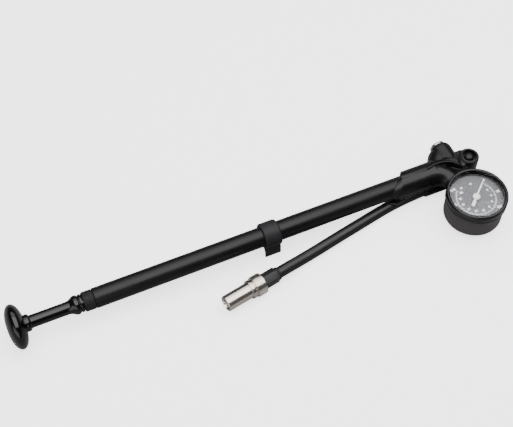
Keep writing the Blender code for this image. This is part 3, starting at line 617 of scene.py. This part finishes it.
def make_head_skin():
    """The casting's outside: its lumps joined and melted into one skin."""
    sleeve = turned(
        "head_sleeve",
        [(238.0, 0.0), (238.0, SLEEVE_R), (RAMP_END, SLEEVE_R), (SLEEVE_START, BARREL_R / MM + 0.12)]
        + [(SLEEVE_START, 0.0)],
        ON_BARREL,
    )
    lean_ring(sleeve, RAMP_END, RAMP_LEAN)
    lean_ring(sleeve, SLEEVE_START, SLEEVE_LEAN)
    shell_start = RAMP_END - 1.0
    shell_foot = RAMP_END - 1.3
    body = turned(
        "head_barrel",
        [(256.0, 0.0), (256.0, 5.6), (255.3, 7.2), (253.6, 8.2), (251.0, BODY_R), (shell_start, BODY_R)]
        + [(shell_foot, BODY_R - 0.4), (shell_foot, 0.0)],
        ON_BARREL,
    )
    lean_ring(body, shell_start, SHELL_LEAN)
    lean_ring(body, shell_foot, SHELL_LEAN)
    seam = [(208.0, 1.7), (212.7, 1.3), (219.8, 0.3), (226.8, -0.3)]
    ridge = [(232.0, -0.5), (234.5, 0.0), (237.5, 0.6), (240.3, 0.8), (243.8, 0.4), (247.0, -0.6)]
    ridge += [(250.0, -2.0), (252.0, -3.9), (254.1, -5.2), (255.2, -7.0)]
    front = seam + ridge + [(257.0, -12.0), (208.0, -12.0)]
    cut(body, plate("head_hollow", front, 20.0, at(0.0, 0.0, 12.0)))
    under = [(205.0, -9.0), (230.0, -9.0), (230.0, 9.0), (205.0, 9.0)]
    cut(body, plate("head_under", under, 20.0, at(0.0, 0.0, -6.0)))
    crest = [(x, y + 0.35, AXIS_Z / MM + math.sqrt(BODY_R**2 - y**2) - 0.05) for x, y in ridge]
    bead = strip("head_crest", crest, 0.65, ON_LAYOUT)
    step = strip(
        "head_step",
        [(228.1, -3.6, 21.0), (227.9, -4.6, 20.5), (228.4, -5.8, 19.5), (229.4, -7.2, 17.5)]
        + [(231.0, -7.9, 15.3), (233.0, -8.0, 13.0)],
        0.42,
        ON_LAYOUT,
    )
    elbow = taper_strip(
        "head_elbow",
        [(224.0, 0.0, 14.0, 8.1), (230.0, 0.0, 14.0, 8.1), (234.5, -0.2, 14.0, 8.1)]
        + [(240.0, -1.8, 13.9, 7.6), (244.3, -5.5, 13.6, 6.8), (246.2, -10.0, 13.3, 6.3)]
        + [(246.5, -16.0, 13.0, 6.1)],
    )
    boss = turned(
        "head_branch",
        [(-0.6, 0.0), (-0.6, 7.4), (13.6, 7.4), (15.0, 7.1), (15.9, 6.5), (16.4, 5.6), (16.4, 0.0)],
        ON_BOSS,
    )
    flare = turned(
        "head_flare",
        [(1.5, 0.0), (1.5, 7.5), (8.0, 7.4), (12.0, 6.9), (14.0, 5.8), (14.8, 3.6), (14.9, 0.0)],
        at(BOSS_X - 9.2, 0.0, BOSS_Z - 0.35) @ Matrix.Rotation(FLARE_YAW, 4, "Z") @ ALONG_Y,
    )
    branch = cast(joined("head_branches", [boss, flare]), 0.35, 10)
    lobe = turned(
        "head_lobe",
        [(6.0, 0.0), (6.0, 5.9), (6.8, 6.5), (17.5, 6.5), (18.1, 6.3), (18.4, 5.8), (18.4, 0.0)],
        ON_LOBE,
    )
    web = brick("head_web", (250.0, -4.5, 8.6), (264.0, 9.0, 17.3), ON_LAYOUT, 1.8)
    rim = strip(
        "head_web_rim",
        [(255.4, -4.0, 17.1), (256.0, -1.0, 17.4), (256.6, 3.0, 17.4), (257.0, 7.0, 17.2)]
        + [(257.2, 9.6, 16.3)],
        0.75,
        ON_LAYOUT,
    )
    arm = brick("head_arm", (244.0, -16.0, 6.4), (257.2, 2.0, 17.2), ON_LAYOUT, 2.2)
    socket = turned(
        "head_socket",
        [(229.6, 0.0), (229.6, 4.5), (229.9, 4.7), (247.5, 4.7), (249.0, 3.6), (249.0, 0.0)],
        ON_SOCKET,
    )
    lip = plate(
        "head_lip",
        [(205.9, -4.0), (208.5, -3.6), (214.0, -4.0), (214.0, -8.0), (207.0, -9.2), (203.4, -6.8)],
        1.1,
        at(0.0, 0.0, 7.6),
        0.3,
    )
    lumps = [sleeve, body, bead, step, elbow, branch, lobe, web, rim, arm, socket, lip]
    return cast(joined("pump_head", lumps), 0.32, 3)


def make_head():
    head = make_head_skin()
    tools = [
        turned(
            "gauge_room",
            [(-5.0, 0.0), (-5.0, 19.0), (18.75, 19.0), (18.75, 19.85), (40.0, 19.85), (40.0, 0.0)],
            ON_GAUGE,
        ),
        turned("barrel_room", rod_outline(190.0, 222.5, BARREL_R / MM + 0.06), ON_BARREL),
        turned("plug_room", rod_outline(8.0, 30.0, 3.6), ON_BOSS, FINE),
        turned(
            "bleed_room",
            [(8.5, 0.0), (8.5, 2.7), (16.4, 2.7), (16.4, 4.3), (30.0, 4.3), (30.0, 0.0)],
            ON_LOBE,
            FINE,
        ),
        turned("hose_room", rod_outline(201.0, 239.0, HOSE_ROOM_R), ON_SOCKET, FINE),
    ]
    for tool in tools:
        cut(head, tool)
    groove = strip("hose_groove", HOSE_ROUTE[1:8], HOSE_ROOM_R, ON_LAYOUT)
    cut(head, groove)
    dress(shade(head, 40.0), HEAD_SATIN, "pump", "black_head", "head_body")

    ring = turned(
        "bleed_ring",
        [(16.4, 4.3), (18.4, 4.3), (18.75, 4.5), (18.9, 4.8), (18.9, 5.25), (18.75, 5.6), (18.4, 5.8)]
        + [(17.6, 5.9), (16.4, 5.9), (16.4, 4.3)],
        ON_LOBE,
    )
    dress(ring, HEAD_SATIN, "pump", "black_head")
    plug = turned(
        "valve_cap",
        [(8.0, 0.0), (8.0, 2.4), (9.0, 3.3), (16.7, 3.3), (16.75, 5.0), (16.95, 5.2), (17.9, 5.2)]
        + [(18.35, 5.05), (18.7, 4.6), (18.8, 4.0), (18.8, 2.2), (18.2, 2.0), (18.2, 0.0)],
        ON_BOSS,
        soften=0.08,
    )
    dress(plug, NICKEL, "pump", "nickel", "valve_plug")
    button = turned(
        "bleed_button_round",
        [(11.4, 0.0), (11.4, 2.3), (12.2, 2.3), (12.2, 1.1), (15.3, 1.1), (15.3, 2.4), (17.2, 2.4)]
        + [(17.3, 3.1), (17.6, 3.2), (17.95, 3.1), (18.4, 2.7), (18.8, 2.05), (19.05, 1.3), (19.17, 0.6)]
        + [(19.2, 0.0)],
        ON_LOBE,
        FINE,
    )
    dress(button, HEAD_SATIN, "bleed", "black_plastic", "bleed_button")


def make_clip():
    ring = turned(
        "clip_ring",
        [(116.0, 6.0), (116.0, 7.6), (116.4, 8.1), (117.0, 8.2), (126.0, 8.2), (126.8, 7.8), (127.2, 7.2)]
        + [(127.2, 6.7), (126.8, 6.0), (116.0, 6.0)],
        ON_BARREL,
    )
    outer = 5.1
    inner = 3.7
    hook_y = -2.0
    hook_z = 2.9
    foot = 0.4
    width = 10.5
    steps = 16
    arch = []
    for index in range(steps + 1):
        angle = math.pi * index / steps
        arch.append((hook_y + inner * math.cos(angle), hook_z + inner * math.sin(angle)))
    outline = [(hook_y - outer, foot), (hook_y - outer, hook_z), (hook_y - outer + 0.5, 8.4)]
    outline += [(hook_y + outer - 0.5, 8.4), (hook_y + outer, hook_z), (hook_y + outer, foot)]
    outline += [(hook_y + inner, foot)] + arch + [(hook_y - inner, foot), (hook_y - outer, foot)]
    stand = Matrix.Rotation(math.pi / 2, 4, "Z") @ Matrix.Rotation(math.pi / 2, 4, "X")
    draw_outline([Vector((x, y, 0.0)) * MM for x, y in outline])
    bpy.ops.mesh.remove_doubles(threshold=MERGE)
    bpy.ops.mesh.edge_face_add()
    bpy.ops.mesh.extrude_region_move(TRANSFORM_OT_translate={"value": (0.0, 0.0, width * MM)})
    bpy.ops.mesh.select_all(action="SELECT")
    bpy.ops.mesh.normals_make_consistent(inside=False)
    hook = put("clip_hook", at(116.0, 0.0, 0.0) @ stand)
    clip = joined("hose_clip_moulding", [ring, hook])
    cast(clip, 0.26, 3)
    cut(clip, turned("clip_room", rod_outline(110.0, 130.0, BARREL_R / MM + 0.08), ON_BARREL))
    dress(shade(clip, 40.0), CLIP_PLASTIC, "clip", "grey_plastic", "hose_clip")


def make_gauge():
    case = turned(
        "gauge_shell",
        [(0.3, 0.0), (0.3, 14.5), (0.6, 14.9), (1.2, 15.0), (3.3, 15.0), (3.7, 15.2), (3.85, 15.6)]
        + [(3.95, 17.3), (4.1, 18.0), (4.5, 18.45), (5.1, 18.65), (6.0, 18.7), (18.95, 18.7)]
        + [(19.0, 17.6), (5.2, 17.5), (5.0, 14.0), (1.5, 14.0), (1.5, 0.0)],
        ON_GAUGE,
    )
    on_stem = ON_GAUGE @ Matrix.Translation((0.0, 0.0, STEM_Z)) @ ALONG_Y
    cut(case, turned("stem_window", rod_outline(13.0, 24.0, 4.2), on_stem))
    dress(shade(case), CASE_SATIN, "pump", "black_case", "gauge_case")
    bezel = turned(
        "gauge_rim",
        [(22.9, 17.15), (23.7, 17.15), (24.6, 17.35), (25.2, 17.65), (25.45, 18.05), (25.5, 18.45)]
        + [(25.4, 18.9), (25.15, 19.25), (24.8, 19.48), (24.35, 19.58), (24.05, 19.6), (23.95, 19.5)]
        + [(23.85, 19.3), (23.72, 19.3), (23.62, 19.5), (23.5, 19.6), (20.1, 19.6), (19.9, 19.45)]
        + [(19.7, 19.45), (19.5, 19.6), (19.25, 19.6), (19.05, 19.5), (19.0, 19.3), (19.0, 18.75)]
        + [(22.3, 18.7), (22.9, 18.4), (22.9, 17.15)],
        ON_GAUGE,
        128,
    )
    dress(bezel, GLOSS, "pump", "gloss_black", "gauge_bezel")
    dome = [(22.2, 0.0), (22.2, 17.9)]
    sag = 1.3
    for index in range(17):
        r = 17.9 * (1 - index / 16)
        dome.append((22.7 + sag * (1 - (r / 17.9) ** 2), r))
    lens = turned("gauge_glass", dome, ON_GAUGE, 128)
    dress(lens, GLASS, "pump", "clear", "gauge_lens")
    top = DIAL_TOP_Z / MM
    dial = turned(
        "dial_plate",
        [(top - 0.6, 0.9), (top - 0.6, 17.3), (top - 0.08, 17.3), (top, 17.22), (top, 0.9)]
        + [(top - 0.6, 0.9)],
        ON_GAUGE,
        128,
    )
    dress(dial, DIAL, "pump", "dial_grey", "gauge_dial")


def dial_angle(share):
    """The angle of a share of the scale, which runs clockwise from its zero."""
    return ZERO_ANGLE - SCALE_SWEEP * share


def dial_arc(name, inner, outer):
    """A thin printed line along the scale."""
    top = DIAL_TOP_Z / MM
    outline = ring_outline(top + PRINT_LOW, top + PRINT_HIGH, inner, outer)
    draw_outline([Vector((r, 0.0, z)) * MM for z, r in outline])
    bpy.ops.mesh.spin(steps=ROUND, angle=SCALE_SWEEP, center=(0.0, 0.0, 0.0), axis=(0.0, 0.0, 1.0))
    bpy.ops.mesh.select_all(action="SELECT")
    bpy.ops.mesh.remove_doubles(threshold=MERGE)
    bpy.ops.mesh.select_all(action="DESELECT")
    bpy.ops.mesh.select_non_manifold()
    bpy.ops.mesh.edge_face_add()
    bpy.ops.mesh.select_all(action="SELECT")
    bpy.ops.mesh.normals_make_consistent(inside=False)
    return put(name, ON_GAUGE @ Matrix.Rotation(ZERO_ANGLE, 4, "Z"))


def dial_ticks(radius, count, every, short, long, width):
    marks = []
    top = DIAL_TOP_Z / MM
    for index in range(count + 1):
        length = long if index % every == 0 else short
        mark = brick(
            "mark",
            (radius, -width / 2, top + PRINT_LOW),
            (radius + length, width / 2, top + PRINT_HIGH),
            ON_GAUGE @ Matrix.Rotation(dial_angle(index / count), 4, "Z"),
        )
        marks.append(mark)
    return marks


def dial_numerals(values, radius, size):
    """Numerals that stand upright on the dial, each at its share of the scale."""
    marks = []
    upright = Matrix.Rotation(DIAL_FOOT + math.pi / 2, 4, "Z")
    for index, value in enumerate(values):
        select_nothing()
        bpy.ops.object.text_add()
        text = bpy.context.object
        text.data.body = str(value)
        text.data.size = size * MM
        text.data.align_x = "CENTER"
        text.data.align_y = "CENTER"
        text.data.extrude = (PRINT_HIGH - PRINT_LOW) / 2 * MM
        text.data.offset = 0.13 * MM
        text.data.resolution_u = 3
        bpy.ops.object.convert(target="MESH")
        angle = dial_angle(index / (len(values) - 1))
        height = (PRINT_LOW + PRINT_HIGH) / 2
        spot = Vector((radius * math.cos(angle), radius * math.sin(angle), height)) * MM
        spot.z += DIAL_TOP_Z
        marks.append(put("numeral", ON_GAUGE @ Matrix.Translation(spot) @ upright))
    return marks


def make_dial_print():
    outer = [dial_arc("scale_line", 12.2, 12.5)]
    outer += dial_ticks(12.5, 30, 5, 0.6, 1.1, 0.25)
    outer += dial_numerals(range(0, 301, 50), 15.2, 2.4)
    dress(shade(joined("outer_scale", outer)), PRINT_WHITE, "pump", "cream")
    inner = dial_ticks(11.4, 20, 2, 0.4, 0.7, 0.3)
    inner += dial_numerals(range(0, 21, 2), 9.8, 2.1)
    dress(shade(joined("inner_scale", inner)), PRINT_WHITE, "pump", "cream")
    for name in ("dial_screw_1", "dial_screw_2"):
        low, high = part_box(name)
        middle = (low + high) / 2
        screw = turned(
            name.replace("dial_", "dial_plate_"),
            [(-0.35, 0.0), (-0.35, 0.75), (-0.05, 0.8), (0.1, 0.7), (0.2, 0.45), (0.2, 0.0)],
            Matrix.Translation(middle),
            FINE,
        )
        dress(screw, CREAM, "pump", "cream", name)


def make_needle():
    middle = ON_GAUGE @ Matrix.Rotation(ZERO_ANGLE, 4, "Z")
    upper = [(15.4, 0.12), (14.6, 0.3), (0.0, 0.62), (-3.4, 0.75), (-4.2, 1.05), (-7.3, 1.1), (-7.8, 0.75)]
    outline = upper + [(x, -y) for x, y in reversed(upper)]
    blade = plate("needle_blade", outline, 0.4, middle @ Matrix.Translation((0.0, 0.0, NEEDLE_Z)), 0.08)
    hub = turned(
        "needle_boss",
        [(20.3, 0.0), (20.3, 2.2), (20.5, 2.3), (21.0, 2.3), (21.25, 2.2), (21.4, 1.95), (21.4, 0.9)]
        + [(21.1, 0.8), (21.1, 0.0)],
        middle,
        FINE,
    )
    dress(shade(joined("needle", [blade, hub])), CREAM, "needle", "cream", "gauge_needle")


def make_hose_end():
    corners = []
    for index in range(6):
        angle = math.radians(30 + 60 * index)
        corners.append((5.15 * math.cos(angle), 5.15 * math.sin(angle)))
    on_hose = ON_CHUCK @ Matrix.Translation((0.0, 0.0, -7.7 * MM))
    ferrule = plate("crimp_ferrule", corners, 9.7, on_hose, 0.35)
    bore = turned(
        "ferrule_room",
        [(-9.0, 0.0), (-9.0, 3.75), (0.3, 3.75), (0.3, 2.2), (5.0, 2.2), (5.0, 0.0)],
        ON_CHUCK,
        FINE,
    )
    cut(ferrule, bore)
    dress(shade(ferrule, 25.0), FERRULE, "pump", "black_metal", "hose_ferrule")
    sleeve = turned(
        "hose_collar",
        [(-9.4, 3.75), (-9.4, 4.0), (-9.0, 4.25), (-7.6, 4.3), (-7.6, 3.75), (-9.4, 3.75)],
        ON_CHUCK,
        FINE,
    )
    dress(sleeve, SEAL_RUBBER, "pump", "rubber")
    stem = turned(
        "chuck_pin",
        [(0.7, 0.0), (0.7, 2.0), (6.6, 2.0), (6.6, 4.1), (9.2, 4.1), (9.2, 2.6), (11.6, 2.6), (11.6, 0.9)]
        + [(16.7, 0.9), (17.0, 0.6), (17.0, 0.0)],
        ON_CHUCK,
        FINE,
        0.1,
    )
    dress(stem, BRASS, "pump", "brass", "chuck_stem")
    return [ferrule, sleeve, stem]


def make_chuck():
    nut = turned(
        "chuck_nut_round",
        [(12.4, 5.2), (12.4, 5.75), (12.2, 5.98), (11.9, 6.05), (10.6, 6.05), (10.3, 5.95), (10.1, 5.6)]
        + [(9.7, 5.45), (9.3, 5.6), (9.15, 6.2), (8.9, 6.6), (8.5, 6.62), (2.95, 6.62), (2.6, 6.5)]
        + [(2.4, 6.1), (2.4, 2.4)]
        + [(6.2, 2.4), (6.2, 4.6), (9.6, 4.6), (9.6, 5.2), (12.4, 5.2)],
        ON_CHUCK,
    )
    dress(nut, NICKEL, "chuck", "nickel", "chuck_nut")
    teeth = knurl("chuck_knurl", 3.0, 8.5, 6.55, 34, 8, (0.6, 0.42), ON_CHUCK)
    dress(teeth, NICKEL, "chuck", "nickel")
    thread = []
    for index in range(13):
        z = 17.0 + index * 0.9
        thread += [(z, 3.9), (z + 0.25, 4.15), (z + 0.55, 4.15), (z + 0.8, 3.9)]
    tube = turned(
        "chuck_barrel",
        [(10.0, 3.95), (10.0, 5.1), (28.8, 5.1), (29.25, 5.0), (29.5, 4.8), (29.6, 4.55), (29.6, 4.35)]
        + thread[::-1]
        + [(16.5, 3.95), (10.0, 3.95)],
        ON_CHUCK,
    )
    dress(tube, NICKEL, "chuck", "nickel", "chuck_tube")
    seal = turned("chuck_gasket", ring_outline(12.0, 15.0, 1.3, 3.65), ON_CHUCK, FINE, 0.3)
    dress(seal, SEAL_RUBBER, "chuck", "rubber", "chuck_seal")
    return [nut, teeth, tube, seal]


def dress_inner_nodes():
    """The inner nodes keep their shapes, and take a finish of their own."""
    looks = {
        "rod_guide_bush": BRONZE,
        "piston": BLACK_MOULDING,
        "piston_seal": SEAL_RUBBER,
        "check_valve_seat": BRASS,
        "barrel_gasket": SEAL_RUBBER,
        "check_valve_spring": STEEL,
        "check_valve_ball": STEEL,
        "gauge_stem": BRASS,
        "hose_fitting": BRASS,
        "bleed_spring": STEEL,
        "movement_plate": BRASS,
        "bourdon_tube": BRONZE,
        "bourdon_block": BRASS,
        "needle_pinion": BRASS,
        "sector_gear": BRASS,
    }
    for name, look in looks.items():
        node = frame["nodes"][name]
        node.data.materials.clear()
        node.data.materials.append(look)


# ---------------------------------------------------------------- studio


def add_light(name, place, aim, size, power):
    lamp = bpy.data.lights.new(name, "AREA")
    lamp.shape = "RECTANGLE"
    lamp.size, lamp.size_y = size
    lamp.energy = power
    light = bpy.data.objects.new(name, lamp)
    bpy.context.scene.collection.objects.link(light)
    turn = (Vector(aim) - Vector(place)).to_track_quat("-Z", "Y").to_matrix().to_4x4()
    light.matrix_world = Matrix.Translation(place) @ turn
    return light


def make_floor_finish():
    """Pale paper whose glow only the camera sees, so that black surfaces keep dark reflections."""
    look = bpy.data.materials.new("floor_paper")
    look.use_nodes = True
    tree = look.node_tree
    tree.nodes.clear()
    paper = tree.nodes.new("ShaderNodeBsdfDiffuse")
    paper.inputs["Color"].default_value = (0.8, 0.8, 0.8, 1.0)
    shaded = tree.nodes.new("ShaderNodeBsdfDiffuse")
    shaded.inputs["Color"].default_value = (0.24, 0.24, 0.24, 1.0)
    glow = tree.nodes.new("ShaderNodeEmission")
    glow.inputs["Strength"].default_value = FLOOR_GLOW
    pale = tree.nodes.new("ShaderNodeAddShader")
    ray = tree.nodes.new("ShaderNodeLightPath")
    choice = tree.nodes.new("ShaderNodeMixShader")
    tree.links.new(paper.outputs["BSDF"], pale.inputs[0])
    tree.links.new(glow.outputs["Emission"], pale.inputs[1])
    wire(tree, ray, "Is Camera Ray", choice, "Fac")
    tree.links.new(shaded.outputs["BSDF"], choice.inputs[1])
    tree.links.new(pale.outputs["Shader"], choice.inputs[2])
    output = tree.nodes.new("ShaderNodeOutputMaterial")
    wire(tree, choice, "Shader", output, "Surface")
    return look


def make_studio():
    select_nothing()
    bpy.ops.mesh.primitive_plane_add(size=8.0)
    floor = bpy.context.object
    floor.name = "studio_floor"
    floor.data.materials.append(make_floor_finish())
    world = bpy.data.worlds.new("studio_air")
    world.use_nodes = True
    world.node_tree.nodes["Background"].inputs["Color"].default_value = (0.95, 0.96, 1.0, 1.0)
    world.node_tree.nodes["Background"].inputs["Strength"].default_value = 0.12
    bpy.context.scene.world = world
    add_light("overhead_panel", (0.2, 0.25, 1.0), (0.2, 0.25, 0.0), (1.9, 1.9), 26.0)
    add_light("overhead_core", (0.2, -0.1, 1.02), (0.2, -0.1, 0.0), (1.9, 1.0), 14.0)
    add_light("left_panel", (-0.9, -0.8, 0.35), (0.0, 0.0, 0.0), (1.6, 0.7), 7.0)


add_camera()

SKIN = build_skin_group()
WEAR = build_wear_group()
ANODISED = finish(
    "anodised_tube", (0.002, 0.002, 0.0022), (0.004, 0.0037, 0.004), (0.3, 0.37), (2600.0, 0.25), 45.0,
    shine=0.25,
)
HEAD_SATIN = finish(
    "head_satin", (0.002, 0.002, 0.0022), (0.005, 0.0048, 0.005), (0.27, 0.34), (1700.0, 0.3), 80.0,
    worn=(0.02, 0.02, 0.02),
    shine=0.26,
)
CASE_SATIN = finish(
    "case_satin", (0.042, 0.037, 0.037), (0.054, 0.048, 0.048), (0.42, 0.52), (1900.0, 0.35), 70.0,
    shine=0.4,
)
GLOSS = finish(
    "gloss_black", (0.001, 0.001, 0.0012), (0.002, 0.0018, 0.002), (0.09, 0.15), (900.0, 0.03), 40.0,
    shine=0.4,
)
MATT_CAP = finish(
    "matt_cap", (0.004, 0.004, 0.004), (0.008, 0.0075, 0.0078), (0.5, 0.62), (1500.0, 0.3), 90.0,
    worn=(0.03, 0.03, 0.03),
    shine=0.22,
)
CLIP_PLASTIC = finish(
    "clip_plastic", (0.007, 0.007, 0.0085), (0.012, 0.012, 0.0135), (0.5, 0.62), (1300.0, 0.5), 110.0,
    shine=0.25,
)
BLACK_MOULDING = finish(
    "black_moulding", (0.015, 0.015, 0.015), (0.025, 0.025, 0.025), (0.45, 0.55), (1300.0, 0.3), 90.0,
)
HOSE_RUBBER = finish(
    "hose_rubber", (0.003, 0.003, 0.0035), (0.006, 0.0058, 0.0065), (0.36, 0.46), (1100.0, 0.45), 70.0,
    shine=0.4,
)
SEAL_RUBBER = finish(
    "seal_rubber", (0.004, 0.004, 0.004), (0.008, 0.008, 0.008), (0.6, 0.75), (1500.0, 0.4), 120.0,
    shine=0.3,
)
FERRULE = finish(
    "ferrule_black", (0.006, 0.006, 0.0065), (0.011, 0.011, 0.0115), (0.42, 0.52), (1600.0, 0.4), 120.0,
    worn=(0.04, 0.04, 0.04),
    shine=0.4,
)
NICKEL = finish(
    "bright_nickel", (0.56, 0.51, 0.46), (0.68, 0.62, 0.57), (0.12, 0.22), (1400.0, 0.08), 150.0, 1.0
)
STEEL = finish(
    "polished_steel", (0.5, 0.5, 0.52), (0.62, 0.62, 0.63), (0.14, 0.24), (2400.0, 0.1), 120.0, 1.0,
)
BRASS = finish(
    "turned_brass", (0.62, 0.44, 0.18), (0.74, 0.55, 0.27), (0.24, 0.36), (2200.0, 0.15), 140.0, 1.0,
)
BRONZE = finish(
    "sintered_bronze", (0.42, 0.27, 0.13), (0.56, 0.38, 0.2), (0.38, 0.5), (1800.0, 0.5), 200.0, 1.0,
)
CREAM = finish(
    "cream_paint", (0.80, 0.78, 0.70), (0.88, 0.86, 0.79), (0.4, 0.5), (2400.0, 0.1), 160.0,
)
PRINT_WHITE = finish(
    "white_print", (0.72, 0.72, 0.72), (0.85, 0.85, 0.85), (0.5, 0.6), (3000.0, 0.1), 700.0,
)
DIAL = finish(
    "dial_grey", (0.085, 0.085, 0.089), (0.105, 0.103, 0.108), (0.4, 0.5), (2600.0, 0.15), 120.0,
    shine=0.2,
)
GLASS = make_lens_finish()

HOSE_LINE = smooth_route([ORIGIN + Vector(point) * MM for point in HOSE_ROUTE], 3.0 * MM)
HOSE = hose_curve("hose_line", HOSE_LINE, HOSE_R)
dress(HOSE, HOSE_RUBBER, "pump", "rubber", "hose")

make_barrel()
make_handle()
make_head()
make_clip()
make_gauge()
make_dial_print()
make_needle()
hose_end = make_hose_end()
chuck = make_chuck()
dress_inner_nodes()

make_studio()
